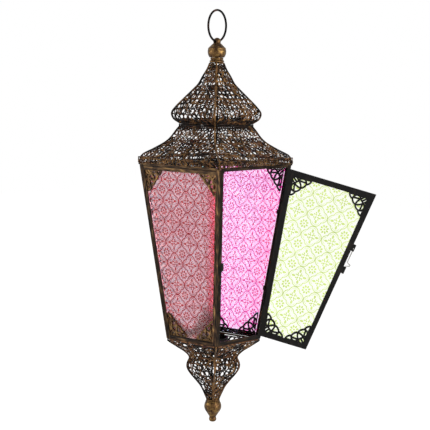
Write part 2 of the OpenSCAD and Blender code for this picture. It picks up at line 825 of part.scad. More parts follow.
// Bent tab on the near post's return, which the door shuts against
module stop_tab() {
    w = face_h * stop_w_share;
    inner_y = door_t + stop_gap;
    web = post_leg + seat_gap;
    tongue = post_leg + free_gap(w) + stop_lap;
    color(blackened)
        on_face(DOOR) {
            edge_strip(-1, web, web + tab_t, w, w + stop_h, 0, inner_y + tab_t);
            edge_strip(-1, web, tongue, w, w + stop_h, inner_y, tab_t);
        }
}

// Folded channel of the door's frame: two skins and the web at its outer edge
module door_stiles() {
    color(blackened)
        door_swing()
            for (hand = [-1, 1]) {
                for (y = [0, door_t - door_skin])
                    door_edge_strip(hand, stile_foot_w, stile_w, y, door_skin);
                door_edge_strip(hand, door_web, door_web, 0, door_t);
            }
}
module door_rails() {
    foot_w1 = door_w0 + stile_foot_w;
    head_w0 = door_w1 - stile_w;
    color(blackened)
        door_swing() {
            for (y = [0, door_t - door_skin]) {
                door_cross_strip(stile(door_w0), stile(foot_w1), door_w0, foot_w1, y, door_skin);
                door_cross_strip(stile(head_w0), stile(door_w1), head_w0, door_w1, y, door_skin);
            }
            foot_web = door_w0 + door_web;
            head_web = door_w1 - door_web;
            door_cross_strip(stile(door_w0), stile(foot_web), door_w0, foot_web, 0, door_t);
            door_cross_strip(stile(head_web), stile(door_w1), head_web, door_w1, 0, door_t);
        }
}
module glass_green() {
    y = door_skin + groove_gap;
    inset = door_pane_inset;
    color([0.8, 0.95, 0.5, 0.6])
        door_swing() door_cross_strip(inset, inset, door_w0 + inset, door_w1 - inset, y, door_t - 2 * y);
}
module tracery_door() {
    w0 = door_w0 + stile_foot_w;
    w1 = door_w1 - stile_w;
    left = [door_left(w0) - stile(w0), door_left(w1) - stile(w1)];
    right = [door_right(w0) - stile(w0), door_right(w1) - stile(w1)];
    color(blackened)
        door_swing()
            for (y = [door_skin - tracery_t, door_t - door_skin])
                tracery_set(left, right, w0, w1, y, door_tracery_leg);
}

// Frame of the latch: x out of the door's free edge, z up along it, y across its thickness
module on_latch() {
    door_swing()
        translate([-door_left(latch_w), door_t / 2, latch_w])
            rotate([0, -free_turn, 0])
                mirror([1, 0, 0])
                    children();
}
module latch_cheeks(z) {
    for (y = [-latch_block_w / 2, latch_block_w / 2 - latch_cheek])
        translate([seat_gap, y, z - latch_block_h])
            cube([latch_reach - seat_gap, latch_cheek, latch_block_h]);
}

// Upper block: a folded clevis that holds the wire's eye pin
module latch_block_upper() {
    color(blackened)
        on_latch()
            difference() {
                union() {
                    latch_cheeks(0);
                    translate([seat_gap, -latch_block_w / 2, -latch_block_h])
                        cube([latch_web, latch_block_w, latch_block_h]);
                    translate([seat_gap, -latch_block_w / 2, -latch_web])
                        cube([latch_reach - seat_gap, latch_block_w, latch_web]);
                }
                translate([wire_out, 0, -latch_pivot])
                    rotate([quarter, 0, 0])
                        cylinder(h = latch_block_w + over, r = wire_r + pin_gap, center = true,
                            $fn = rod_fn);
            }
}

// Lower block: a staple that the wire's tail slides in
module latch_block_lower() {
    z = -latch_block_h - latch_span;
    color(blackened)
        on_latch() {
            latch_cheeks(z);
            translate([latch_reach - latch_web, -latch_block_w / 2, z - latch_block_h])
                cube([latch_web, latch_block_w, latch_block_h]);
        }
}

// Spring wire: cross pin in the upper block, straight leg, rounded nose and tail
module latch_wire() {
    shoulder = nose_l / 2;
    tip = nose_l / 6;
    color("silver")
        on_latch()
            rotate([quarter, 0, 0]) {
                translate([0, 0, -wire_r])
                    linear_extrude(2 * wire_r)
                        polygon(bent_bar([
                            [wire_out, -latch_pivot], [wire_out, nose_z + shoulder],
                            [nose_out, nose_z + tip], [nose_out, nose_z - tip],
                            [wire_out, nose_z - shoulder], [wire_out, -wire_end]
                        ], wire_r));
                translate([wire_out, -latch_pivot, 0])
                    cylinder(h = latch_block_w, r = wire_r, center = true, $fn = rod_fn);
            }
}

// Ring through the knob of the upper finial
module hanging_ring() {
    color(blackened)
        from_hook()
            translate([0, 0, ring_z + ring_drop + ring_r])
                rotate([quarter, 0, quarter + ring_turn])
                    rotate_extrude($fn = round_fn)
                        translate([ring_r, 0]) circle(r = ring_wire_r, $fn = rod_fn);
}

corner_post_near();
corner_post_right();
corner_post_far();
corner_post_left();
top_rails();
door_header();
bottom_rails();
glass_red();
glass_pink();
glass_blue();
pane_tabs();
tracery_front();
tracery_back();
tracery_left();
eave_hoops();
eave_lace();
lower_roof_ribs();
lower_roof_lace();
waist_hoop();
upper_roof_ribs();
upper_roof_lace();
roof_collar();
top_finial();
top_nut();
basket_hoop();
basket_ribs();
basket_lace();
foot_collar();
bottom_finial();
bottom_nut();
candle_cup();
cup_straps();
cup_rivet();
post_hinge_leaves();
hinge_pins();
stop_tab();
door_stiles();
door_rails();
glass_green();
tracery_door();
door_hinge_leaves();
latch_block_upper();
latch_block_lower();
latch_wire();
hanging_ring();
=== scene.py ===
"""Looks of the hanging candle lantern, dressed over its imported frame."""
import math
import random

import bpy
from mathutils import Matrix, Vector


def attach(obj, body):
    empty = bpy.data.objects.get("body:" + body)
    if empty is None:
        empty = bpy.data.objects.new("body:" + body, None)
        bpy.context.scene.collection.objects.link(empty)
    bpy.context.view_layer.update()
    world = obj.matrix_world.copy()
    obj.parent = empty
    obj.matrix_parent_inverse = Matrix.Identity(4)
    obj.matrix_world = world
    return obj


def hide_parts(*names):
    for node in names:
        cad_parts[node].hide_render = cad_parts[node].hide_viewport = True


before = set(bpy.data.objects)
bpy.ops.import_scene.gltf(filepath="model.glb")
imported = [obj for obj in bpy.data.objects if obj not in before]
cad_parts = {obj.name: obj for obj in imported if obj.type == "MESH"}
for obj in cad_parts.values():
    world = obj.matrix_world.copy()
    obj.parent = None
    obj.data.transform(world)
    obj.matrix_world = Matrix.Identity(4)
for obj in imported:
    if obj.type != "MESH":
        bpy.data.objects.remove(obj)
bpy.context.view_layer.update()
rng = random.Random(20417)

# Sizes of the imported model, in millimetres, with heights measured from the body's bottom
MM = 0.001
HOOK_Z = 459.44
BODY_H = 246.0
BODY_TOP_W = 150.6
BODY_BOTTOM_W = 94.0
POST_LEG = 7.5
BOTTOM_RAIL_H = 5.8
EAVE_W = 151.2
WAIST_W = 72.2
WAIST_Z = 301.4
RIB_R = 1.4
HOOP_R = 1.3
HINGE_GAP = 0.4
HINGE_OUT = 1.95
DOOR_OPEN = math.radians(128)
SIDES = (0, 1, 2, 3)
FRONT, DOOR, BACK, LEFT = SIDES

SPREAD = (BODY_TOP_W - BODY_BOTTOM_W) / 2
EDGE_SLOPE = SPREAD / BODY_H
LEAN = math.atan(EDGE_SLOPE)
FACE_H = BODY_H / math.cos(LEAN)
EDGE_TURN = math.atan(SPREAD / FACE_H)

# Frames of the sides and of the open door: x across, y inwards, z up the slope
TO_METRES = Matrix.Scale(MM, 4)
FACES = [
    TO_METRES @ Matrix.Translation((0, 0, -HOOK_Z)) @ Matrix.Rotation(math.radians(90 * side), 4, "Z")
    @ Matrix.Translation((0, -BODY_BOTTOM_W / 2, 0)) @ Matrix.Rotation(LEAN, 4, "X")
    for side in SIDES
]
HINGE_AT = Vector((BODY_BOTTOM_W / 2 - POST_LEG - HINGE_GAP, -HINGE_OUT, 0))
OPEN_DOOR = (
    FACES[DOOR] @ Matrix.Translation(HINGE_AT) @ Matrix.Rotation(EDGE_TURN, 4, "Y")
    @ Matrix.Rotation(DOOR_OPEN, 4, "Z") @ Matrix.Rotation(-EDGE_TURN, 4, "Y")
    @ Matrix.Translation(-HINGE_AT)
)


def face_half(w):
    """Half the width of a side at a height up its slope."""
    return BODY_BOTTOM_W / 2 + SPREAD * w / FACE_H


def base(x, y, z):
    """A point of the base frame, in metres of the row's frame."""
    return Vector((x, y, z - HOOK_Z)) * MM


# The real roof is twisted a little by hand, more and more from its eave up to its waist
TWIST = math.radians(-5)
TWIST_FOOT = 253.0
TWIST_HEAD = 300.0


def twisted(x, y, z):
    """A point of the base frame on the body or its twisted roof, in metres of the row's frame."""
    share = min(max((z - TWIST_FOOT) / (TWIST_HEAD - TWIST_FOOT), 0), 1)
    a = TWIST * math.sin(math.pi / 2 * share)
    return base(x * math.cos(a) - y * math.sin(a), x * math.sin(a) + y * math.cos(a), z)


# Camera, fitted to the photograph: its turn, rise and roll, its distance from the base frame's
# origin with its shift across and up, and its focal length for a frame of so many pixels
CAMERA_TURN = math.radians(41.75)
CAMERA_RISE = math.radians(5.89)
CAMERA_ROLL = math.radians(0.68)
CAMERA_AWAY = 2223
CAMERA_ACROSS = 2.04
CAMERA_UP = 174.38
FOCAL_PX = 1570
FRAME_PX = 430
SENSOR = 36.0
CLIP_M = (0.05, 50)


def make_camera():
    flat = math.cos(CAMERA_RISE)
    back = Vector((math.sin(CAMERA_TURN) * flat, -math.cos(CAMERA_TURN) * flat, math.sin(CAMERA_RISE)))
    right = Vector((math.cos(CAMERA_TURN), math.sin(CAMERA_TURN), 0))
    up = back.cross(right)
    cam_x = math.cos(CAMERA_ROLL) * right + math.sin(CAMERA_ROLL) * up
    cam_y = -math.sin(CAMERA_ROLL) * right + math.cos(CAMERA_ROLL) * up
    data = bpy.data.cameras.new("camera")
    data.sensor_width = SENSOR
    data.lens = FOCAL_PX / FRAME_PX * SENSOR
    data.clip_start, data.clip_end = CLIP_M
    camera = bpy.data.objects.new("camera", data)
    matrix = Matrix((cam_x, cam_y, back)).transposed().to_4x4()
    matrix.translation = base(*(CAMERA_ACROSS * cam_x + CAMERA_UP * cam_y + CAMERA_AWAY * back))
    camera.matrix_world = matrix
    bpy.context.scene.collection.objects.link(camera)
    bpy.context.scene.camera = camera


# Where the painted shade on the left and far posts ends, in metres from the middle towards the right
FADE_M = (0.008, 0.04)


class Nodes:
    """Short calls for building one material's nodes."""

    def __init__(self, name):
        self.material = bpy.data.materials.new(name)
        self.material.use_nodes = True
        self.tree = self.material.node_tree
        self.tree.nodes.clear()
        self.output = self.tree.nodes.new("ShaderNodeOutputMaterial")

    def add(self, kind, **inputs):
        node = self.tree.nodes.new("ShaderNode" + kind)
        for key, value in inputs.items():
            self.put(node, key.replace("_", " "), value)
        return node

    def put(self, node, key, value):
        socket = node.inputs[key]
        if isinstance(value, bpy.types.NodeSocket):
            self.tree.links.new(value, socket)
        else:
            socket.default_value = value

    def place(self):
        """The place on the object, in metres."""
        return self.add("TexCoord").outputs["Object"]

    def coords(self, scale=(1, 1, 1)):
        return self.add("Mapping", Vector=self.place(), Scale=scale).outputs["Vector"]

    def noise(self, vector, scale, detail, rough):
        node = self.add("TexNoise", Vector=vector, Scale=scale, Detail=detail, Roughness=rough)
        return node.outputs["Fac"]

    def ramp(self, factor, stops):
        node = self.add("ValToRGB", Fac=factor)
        elements = node.color_ramp.elements
        while len(elements) < len(stops):
            elements.new(0.5)
        for element, (place, color) in zip(elements, stops):
            element.position = place
            element.color = (*color, 1)
        return node.outputs["Color"]

    def spread(self, factor, low, high, start=0.0, end=1.0):
        """From low to high as a factor goes from start to end."""
        node = self.add("MapRange", Value=factor, From_Min=start, From_Max=end, To_Min=low, To_Max=high)
        return node.outputs["Result"]

    def along(self, vector, way):
        """The part of a vector that lies along a way."""
        node = self.add("VectorMath", Vector=vector)
        node.operation = "DOT_PRODUCT"
        self.put(node, 1, way)
        return node.outputs["Value"]

    def dim(self, color, share):
        """A colour at a share of its light."""
        node = self.add("VectorMath")
        node.operation = "SCALE"
        self.put(node, 0, color)
        self.put(node, "Scale", share)
        return node.outputs[0]

    def fade_left(self, color, share):
        """A colour at a share of its light at the left and far posts, and full a little to their right."""
        across = self.along(self.place(), (1, -1, 0))
        return self.dim(color, self.spread(across, share, 1.0, *FADE_M))

    def shade(self, color, share):
        """A colour at its full light on the front and left, and at a share of it on the other two sides."""
        split = self.add("SeparateXYZ", Vector=self.place())
        total = self.add("Math", Value=split.outputs["X"])
        self.put(total, 1, split.outputs["Y"])
        behind = self.add("Math", Value=total.outputs[0])
        behind.operation = "GREATER_THAN"
        self.put(behind, 1, 0.0)
        return self.dim(color, self.spread(behind.outputs[0], 1.0, share))

    def mix(self, factor, color, other):
        node = self.add("MixRGB", Fac=factor, Color1=color, Color2=(*other, 1))
        return node.outputs["Color"]

    def bump(self, height, strength, distance):
        node = self.add("Bump", Height=height, Strength=strength, Distance=distance)
        return node.outputs["Normal"]

    def finish(self, shader):
        self.tree.links.new(shader.outputs[0], self.output.inputs["Surface"])
        return self.material


def srgb(r, g, b):
    """A colour as seen, 0 to 255, in linear light."""
    def one(v):
        v /= 255
        return v / 12.92 if v <= 0.04045 else ((v + 0.055) / 1.055) ** 2.4
    return (one(r), one(g), one(b))


# Stretch of the patina on pieces that stand and on pieces that lie
UPRIGHT = (1, 1, 0.16)
LYING = (0.16, 0.16, 1)
# Share of the blotches in the height of worn metal, over its fine grain
BLOTCH_SHARE = 0.6
GRAIN_SCALE = 900.0
# The gloss changes over smaller blotches than the colour
GLOSS_FINER = 1.7
METAL_BUMP = {"strength": 0.25, "distance": 0.0004}

# Worn metals: colours as seen along the blotches, scale of the blotches and range of roughness; door_shade
# and left_shade are the shares of painted shade on the door and back sides and at the left and far posts
METALS = {
    "antique_sheet": {
        "stops": ((0.36, (10, 8, 7)), (0.45, (42, 30, 22)), (0.56, (76, 56, 38)), (0.68, (150, 115, 72))),
        "scale": 330.0, "rough": (0.36, 0.62), "metallic": 0.75,
        "stretch": UPRIGHT, "door_shade": 0.2, "left_shade": 0.42},
    "rail_sheet": {
        "stops": ((0.36, (12, 9, 8)), (0.45, (48, 35, 25)), (0.56, (82, 62, 41)), (0.68, (142, 111, 70))),
        "scale": 330.0, "rough": (0.36, 0.62), "metallic": 0.75,
        "stretch": LYING, "door_shade": 0.25},
    "foot_rail_sheet": {
        "stops": ((0.36, (9, 7, 6)), (0.45, (36, 26, 19)), (0.56, (64, 47, 32)), (0.68, (122, 92, 58))),
        "scale": 330.0, "rough": (0.36, 0.62), "metallic": 0.75,
        "stretch": LYING, "door_shade": 0.25},
    "gilt_sheet": {
        "stops": ((0.34, (20, 15, 11)), (0.48, (72, 53, 34)), (0.66, (140, 108, 66))),
        "scale": 190.0, "rough": (0.32, 0.55), "metallic": 0.75},
    "blackened_sheet": {
        "stops": ((0.3, (6, 6, 6)), (0.55, (13, 12, 11)), (0.8, (32, 27, 22))),
        "scale": 120.0, "rough": (0.45, 0.65), "metallic": 0.3, "stretch": (1, 1, 0.4)},
    "iron_wire": {
        "stops": ((0.36, (9, 6, 5)), (0.6, (30, 20, 14)), (0.78, (76, 49, 30))),
        "scale": 210.0, "rough": (0.4, 0.6), "metallic": 0.5},
    "brown_wire": {
        "stops": ((0.34, (27, 17, 11)), (0.5, (76, 50, 33)), (0.7, (124, 86, 54))),
        "scale": 210.0, "rough": (0.35, 0.6), "metallic": 0.6},
    "copper_wire": {
        "stops": ((0.32, (34, 24, 15)), (0.5, (94, 68, 41)), (0.7, (146, 110, 66))),
        "scale": 210.0, "rough": (0.32, 0.5), "metallic": 0.75},
    "antique_brass": {
        "stops": ((0.34, (44, 31, 22)), (0.5, (82, 60, 38)), (0.7, (128, 103, 57))),
        "scale": 240.0, "rough": (0.42, 0.5), "metallic": 1.0},
    # The ring's door_shade paints shade on its right half
    "dark_wire": {
        "stops": ((0.35, (5, 4, 4)), (0.55, (15, 10, 8)), (0.75, (92, 48, 32))),
        "scale": 60.0, "rough": (0.45, 0.6), "metallic": 0.7, "door_shade": 0.3},
    "bright_steel": {
        "stops": ((0.3, (120, 118, 114)), (0.7, (206, 204, 200))),
        "scale": 200.0, "rough": (0.22, 0.4), "metallic": 1.0},
}

# Panes: colours as seen of the body's pale and deep parts, of the pattern's lines and of its dots
PANES = {
    "glass_red": ((255, 205, 205), (250, 169, 173), (228, 88, 104), (232, 32, 54)),
    "glass_pink": ((252, 212, 244), (250, 186, 234), (246, 106, 204), (242, 50, 184)),
    "glass_blue": ((240, 248, 251), (224, 240, 247), (160, 218, 234), (106, 196, 224)),
    "glass_green": ((253, 255, 248), (249, 253, 238), (234, 246, 186), (226, 243, 150)),
}
# The red pane's painted colour beside the near post, standing in for the light seen through the pane there,
# and the strip it covers in metres from the pane's edge
PAINTED_RED_EDGE = (255, 120, 136)
RED_EDGE_M = (0.024, 0.009)
PANE_IOR = 1.45
# Lines and dots tint the pane without bending light, so they stay bright
LINE_IOR = 1.03
LINE_DEPTH = 0.92
DOT_DEPTH = 0.9
WAVE_SCALE = 260.0
CLOUD_SCALE = 38.0
GLASS_BUMP = {"strength": 0.35, "distance": 0.0012}
MATERIALS = {}


def metal(name, stops, scale, rough, metallic, stretch=(1, 1, 1), door_shade=1.0, left_shade=1.0):
    """Worn metal: blotches of patina, uneven gloss and a fine grain, with painted shade towards some sides.
    """
    t = Nodes(name)
    at = t.coords(stretch)
    blotch = t.noise(at, scale, detail=7.0, rough=0.62)
    fine = t.noise(at, GRAIN_SCALE, detail=3.0, rough=0.6)
    color = t.ramp(blotch, [(place, srgb(*seen)) for place, seen in stops])
    # Painted shade: the colour is darker on the door and back sides
    if door_shade < 1:
        color = t.shade(color, door_shade)
    # Painted shade: the colour is darker at the left and far posts
    if left_shade < 1:
        color = t.fade_left(color, left_shade)
    gloss = t.spread(t.noise(at, scale * GLOSS_FINER, detail=5.0, rough=0.6), *rough)
    height = t.add("Math", Value=blotch)
    height.operation = "MULTIPLY_ADD"
    t.put(height, 1, BLOTCH_SHARE)
    t.put(height, 2, fine)
    return t.finish(t.add(
        "BsdfPrincipled", Base_Color=color, Metallic=metallic, Roughness=gloss, Specular_IOR_Level=0.15,
        Normal=t.bump(height.outputs[0], **METAL_BUMP)))


def glass(name, color, deep, ior, edge=None):
    """Pressed glass: a pale body tint, seeds and a soft blur, and a deeper colour painted beside the near
    post for the light seen through the pane there.
    """
    t = Nodes(name)
    at = t.coords()
    wave = t.noise(at, WAVE_SCALE, detail=3.0, rough=0.5)
    cloud = t.noise(at, CLOUD_SCALE, detail=4.0, rough=0.6)
    tint = t.ramp(cloud, [(0.3, srgb(*color)), (0.75, srgb(*deep))])
    # Painted light: a deeper colour beside the near post, for the light seen through the pane there
    if edge:
        across = t.along(at, (1, 0, -EDGE_SLOPE))
        corner = (BODY_BOTTOM_W / 2 + EDGE_SLOPE * HOOK_Z) * MM
        nearness = t.spread(across, 0.0, 1.0, *(corner - inset for inset in RED_EDGE_M))
        tint = t.mix(nearness, tint, srgb(*edge))
    return t.finish(t.add(
        "BsdfPrincipled", Base_Color=tint, Roughness=0.18, IOR=ior, Transmission_Weight=1.0,
        Normal=t.bump(wave, **GLASS_BUMP)))


def make_materials():
    m = MATERIALS
    for name, look in METALS.items():
        m[name] = metal(name, **look)
    for name, (pale, deep, line, dot) in PANES.items():
        m[name] = glass(name, pale, deep, PANE_IOR, PAINTED_RED_EDGE if name == "glass_red" else None)
        m[name + "_line"] = glass(name + "_line", line, [LINE_DEPTH * v for v in line], LINE_IOR)
        m[name + "_dot"] = glass(name + "_dot", dot, [DOT_DEPTH * v for v in dot], LINE_IOR)


# Mesh pieces
def new_mesh(name, verts, faces, marks, materials, body, smooth=True):
    mesh = bpy.data.meshes.new(name)
    mesh.from_pydata([tuple(v) for v in verts], [], faces)
    mesh.update()
    for material in materials:
        mesh.materials.append(MATERIALS[material])
    mesh.polygons.foreach_set("material_index", marks)
    if smooth:
        mesh.shade_smooth()
    piece = bpy.data.objects.new(name, mesh)
    bpy.context.scene.collection.objects.link(piece)
    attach(piece, body)
    return piece


IRON, BROWN, COPPER = range(3)
WIRE_MATERIALS = ("iron_wire", "brown_wire", "copper_wire")


class Wires:
    """Gathers many closed wires into one mesh."""

    def __init__(self, sides):
        self.sides = sides
        self.verts = []
        self.faces = []
        self.marks = []

    def add(self, points, normals, radius, mark):
        """Wire through points in metres, of a radius in millimetres and a material by its mark."""
        last = len(points) - 1
        start = len(self.verts)
        for i, (point, normal) in enumerate(zip(points, normals)):
            along = (points[min(i + 1, last)] - points[max(i - 1, 0)]).normalized()
            across = normal.cross(along).normalized()
            out = along.cross(across)
            for k in range(self.sides):
                a = 2 * math.pi * (k + 0.5) / self.sides
                self.verts.append(point + (across * math.cos(a) + out * math.sin(a)) * radius * MM)
        for i in range(last):
            low = start + i * self.sides
            high = low + self.sides
            for k in range(self.sides):
                n = (k + 1) % self.sides
                self.faces.append((low + k, low + n, high + n, high + k))
        end = start + last * self.sides
        self.faces.append(tuple(start + k for k in reversed(range(self.sides))))
        self.faces.append(tuple(end + k for k in range(self.sides)))
        self.marks += [mark] * (len(self.faces) - len(self.marks))

    def build(self, name):
        return new_mesh(name, self.verts, self.faces, self.marks, WIRE_MATERIALS, "lantern_body")


SKIN_STEPS = 12
TINY = 1e-9


class Skin:
    """Smooth surface through half widths and levels, the same on all four sides."""

    def __init__(self, points):
        self.path = []
        first = 2 * Vector(points[0]) - Vector(points[1])
        last = 2 * Vector(points[-1]) - Vector(points[-2])
        pts = [first] + [Vector(p) for p in points] + [last]
        for i in range(1, len(pts) - 2):
            p0, p1, p2, p3 = pts[i - 1:i + 3]
            l0, l1, l2 = (v.length ** 0.5 for v in (p1 - p0, p2 - p1, p3 - p2))
            m1 = ((p1 - p0) / l0 - (p2 - p0) / (l0 + l1) + (p2 - p1) / l1) * l1
            m2 = ((p2 - p1) / l1 - (p3 - p1) / (l1 + l2) + (p3 - p2) / l2) * l1
            for k in range(SKIN_STEPS):
                t = k / SKIN_STEPS
                self.path.append(
                    (2 * t ** 3 - 3 * t ** 2 + 1) * p1 + (t ** 3 - 2 * t ** 2 + t) * m1
                    + (-2 * t ** 3 + 3 * t ** 2) * p2 + (t ** 3 - t ** 2) * m2)
        self.path.append(Vector(points[-1]))
        self.at = [0.0]
        for a, b in zip(self.path, self.path[1:]):
            self.at.append(self.at[-1] + (b - a).length)
        self.length = self.at[-1]

    def __call__(self, s):
        """Half width, level and outward normal at a length along the profile."""
        s = min(max(s, 0.0), self.length)
        low, high = 0, len(self.at) - 1
        while high - low > 1:
            middle = (low + high) // 2
            if self.at[middle] <= s:
                low = middle
            else:
                high = middle
        a, b = self.path[low], self.path[high]
        point = a.lerp(b, (s - self.at[low]) / max(self.at[high] - self.at[low], TINY))
        step = (b - a).normalized()
        normal = Vector((step[1], -step[0]))
        if self.path[-1][1] < self.path[0][1]:
            normal = -normal
        return point[0], point[1], normal

    def length_at(self, z):
        """Length along the profile at which it first passes a level."""
        for i in range(len(self.path) - 1):
            a, b = self.path[i][1], self.path[i + 1][1]
            if min(a, b) <= z <= max(a, b) and a != b:
                return self.at[i] + (self.at[i + 1] - self.at[i]) * (z - a) / (b - a)
        return 0.0 if abs(z - self.path[0][1]) < abs(z - self.path[-1][1]) else self.length

    def spot(self, side, u, s, lift=0.0):
        """Point and normal in metres, at u across a side and s along its profile."""
        half, z, n = self(s)
        turn = math.radians(90 * side)
        c, d = math.cos(turn), math.sin(turn)
        x, y = u, -(half + lift * n[0])
        normal = Vector((d * n[0], -c * n[0], n[1]))
        return twisted(x * c - y * d, x * d + y * c, z + lift * n[1]), normal.normalized()


# Faces around the scrolls, the dark lines and the rods, and points down a rib
SCROLL_SIDES = 5
LINE_SIDES = 8
ROD_SIDES = 12
RIB_POINTS = 48
RIB_ROD_R = 1.2
# Scrolls of the openwork: ranges that the size, place and thickness of each one are drawn from,
# as shares of its cell or of the wire, and the lift off the skin in millimetres
ANY_TURN = (0, 2 * math.pi)
HANDS = (-1, 1)
SCROLL_TURNS = (0.95, 1.2)
SCROLL_INNER = (0.3, 0.9)
SCROLL_DRIFT = (-0.1, 0.1)
SCROLL_REACH = (0.44, 0.58)
SCROLL_R = (0.85, 1.15)
SCROLL_LIFT = (-0.3, 0.3)
SCROLL_POINTS = 15
# A scroll opens to its full radius over this part of a turn, faster at first
OPENING = 0.55
OPENING_POWER = 0.7
# Loose arcs on top of the scrolls
ARC_TURNS = (0.35, 0.6)
ARC_INNER = 0.9
ARC_DRIFT = (-0.5, 0.5)
ARC_REACH = (0.8, 1.3)
ARC_LIFT = 0.7
ARC_POINTS = 11
# Least room beside the middle of a side, for a row of scrolls and for a point of one
LEAST_ROW = 0.8
LEAST_ROOM = 0.6
# Shares of iron, brown and copper wire on each side; the door side's larger share of copper is painted
# light, for the light falling on that side
WIRE_SHARES = {
    FRONT: (0.5, 0.34, 0.16),
    DOOR: (0.46, 0.16, 0.38),
    BACK: (0.7, 0.2, 0.1),
    LEFT: (0.7, 0.2, 0.1),
}


def scroll(turns, inner, start, hand, count):
    """Flat curl of unit radius, from its inner end outwards."""
    points = []
    for i in range(count):
        t = i / (count - 1)
        r = inner + (1 - inner) * min(1, t * turns / OPENING) ** OPENING_POWER
        a = start + hand * 2 * math.pi * turns * t
        points.append((r * math.cos(a), r * math.sin(a)))
    return points


def pick_wire(side):
    draw = rng.random()
    for mark, share in enumerate(WIRE_SHARES[side]):
        draw -= share
        if draw < 0:
            return mark
    return COPPER


def curl(skin, side, shape, centre, mid, reach, wires, wire_r, lift, mark):
    """A scroll laid on a side of the skin, kept between the side's ribs."""
    points, normals = [], []
    for px, py in shape:
        s = min(max(mid + py * reach, 0.0), skin.length)
        room = max(skin(s)[0] - RIB_R, LEAST_ROOM)
        u = min(max(centre + px * reach, -room), room)
        point, normal = skin.spot(side, u, s, lift)
        points.append(point)
        normals.append(normal)
    wires.add(points, normals, wire_r, mark)


def filigree(skin, low, high, cell, wires, wire_r, dark):
    """Rows of scrolls over a skin between two lengths along its profile, and loose arcs on top of them."""
    rows = max(1, round(abs(high - low) / cell))
    step = (high - low) / rows
    for side in SIDES:
        for row in range(rows):
            mid = low + step * (row + 0.5)
            room = max(skin(mid)[0] - RIB_R, LEAST_ROW)
            count = max(1, round(2 * room / cell))
            pitch = 2 * room / count
            for i in range(count):
                offset = (row % 2) * 0.5 * pitch
                centre = -room + pitch * (i + 0.5) + offset - 0.25 * pitch
                shape = scroll(
                    rng.uniform(*SCROLL_TURNS), rng.uniform(*SCROLL_INNER), rng.uniform(*ANY_TURN),
                    rng.choice(HANDS), SCROLL_POINTS)
                mark = IRON if rng.random() < dark else pick_wire(side)
                curl(
                    skin, side, shape, centre + rng.uniform(*SCROLL_DRIFT) * pitch,
                    mid + rng.uniform(*SCROLL_DRIFT) * cell, rng.uniform(*SCROLL_REACH) * cell, wires,
                    wire_r * rng.uniform(*SCROLL_R), rng.uniform(*SCROLL_LIFT), mark)
            for _ in range(max(1, count // 3)):
                shape = scroll(
                    rng.uniform(*ARC_TURNS), ARC_INNER, rng.uniform(*ANY_TURN), rng.choice(HANDS),
                    ARC_POINTS)
                mark = BROWN if rng.random() < 0.5 else COPPER
                curl(
                    skin, side, shape, rng.uniform(-room, room), mid + rng.uniform(*ARC_DRIFT) * cell,
                    rng.uniform(*ARC_REACH) * cell, wires, wire_r, ARC_LIFT, mark)


def seam(skin, s, wires, margin, mark, radius):
    """A rod across each side, at a length along the profile."""
    for side in SIDES:
        half = skin(s)[0] - margin
        ends = [skin.spot(side, t * half, s) for t in (-1, -0.5, 0, 0.5, 1)]
        wires.add([p for p, _ in ends], [n for _, n in ends], radius, mark)


def openwork(node, skin, zones, wire_r, seams=()):
    """Openwork in zones of lower level, upper level, cell size and share of dark wires."""
    wires = Wires(SCROLL_SIDES)
    for low, high, cell, dark in zones:
        filigree(skin, skin.length_at(low), skin.length_at(high), cell, wires, wire_r, dark)
    for z, mark, radius in seams:
        seam(skin, skin.length_at(z), wires, RIB_R, mark, radius)
    piece = wires.build(node + "_wire")
    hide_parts(node)


def corner_spot(out, half, z):
    reach = half * math.sqrt(2)
    return twisted(out[0] * reach, out[1] * reach, z)


def round_ribs(node, skin, foot, head):
    """Round rods down the four corners: copper at the near corner and, as painted shade, dark iron at the
    others.
    """
    wires = Wires(ROD_SIDES)
    for side in SIDES:
        turn = math.radians(90 * side - 45)
        out = Vector((math.cos(turn), math.sin(turn), 0))
        points, normals = [corner_spot(out, *foot)], [out]
        for i in range(RIB_POINTS):
            half, z, n = skin(skin.length * i / (RIB_POINTS - 1))
            points.append(corner_spot(out, half, z))
            normals.append((out * n[0] + Vector((0, 0, n[1]))).normalized())
        points.append(corner_spot(out, *head))
        normals.append(out)
        # Painted shade: every corner but the near one gets dark iron
        wires.add(points, normals, RIB_ROD_R, COPPER if side == FRONT else IRON)
    piece = wires.build(node + "_rod")
    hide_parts(node)


# Profiles of the openwork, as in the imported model
def profile(shares, z, height, from_w, to_w):
    return [((from_w + (to_w - from_w) * w) / 2, z + height * h) for h, w in shares]


EAVE_OUT = 1.2
EAVE_Z = 248.6
EAVE_TOP_Z = 256.6
LOWER_Z = 256.5
LOWER_H = 43.0
UPPER_Z = 304.4
UPPER_H = 83.4
UPPER_BULGE_W = 88.0
UPPER_TOP_W = 13.6
BASKET_Z = -3.3
BASKET_H = 83.5
BASKET_NECK_W = 47.6
BASKET_BULGE_W = 52.6
BASKET_FOOT_W = 12.0
EAVE = [(EAVE_W / 2 + EAVE_OUT, z) for z in (EAVE_Z, EAVE_TOP_Z)]
LOWER = profile(
    [(0, 1), (0.09, 0.93), (0.27, 0.65), (0.49, 0.35), (0.64, 0.22), (0.86, 0.09), (1, 0)],
    LOWER_Z, LOWER_H, WAIST_W, EAVE_W - 2 * RIB_R)
UPPER = profile(
    [(0, 0), (0.07, 0.76), (0.165, 1)], UPPER_Z, UPPER_H, WAIST_W, UPPER_BULGE_W
) + profile(
    [(0.26, 0.9), (0.39, 0.7), (0.555, 0.435), (0.645, 0.3), (0.785, 0.175), (0.895, 0.07), (1, 0)],
    UPPER_Z, UPPER_H, UPPER_TOP_W, UPPER_BULGE_W)
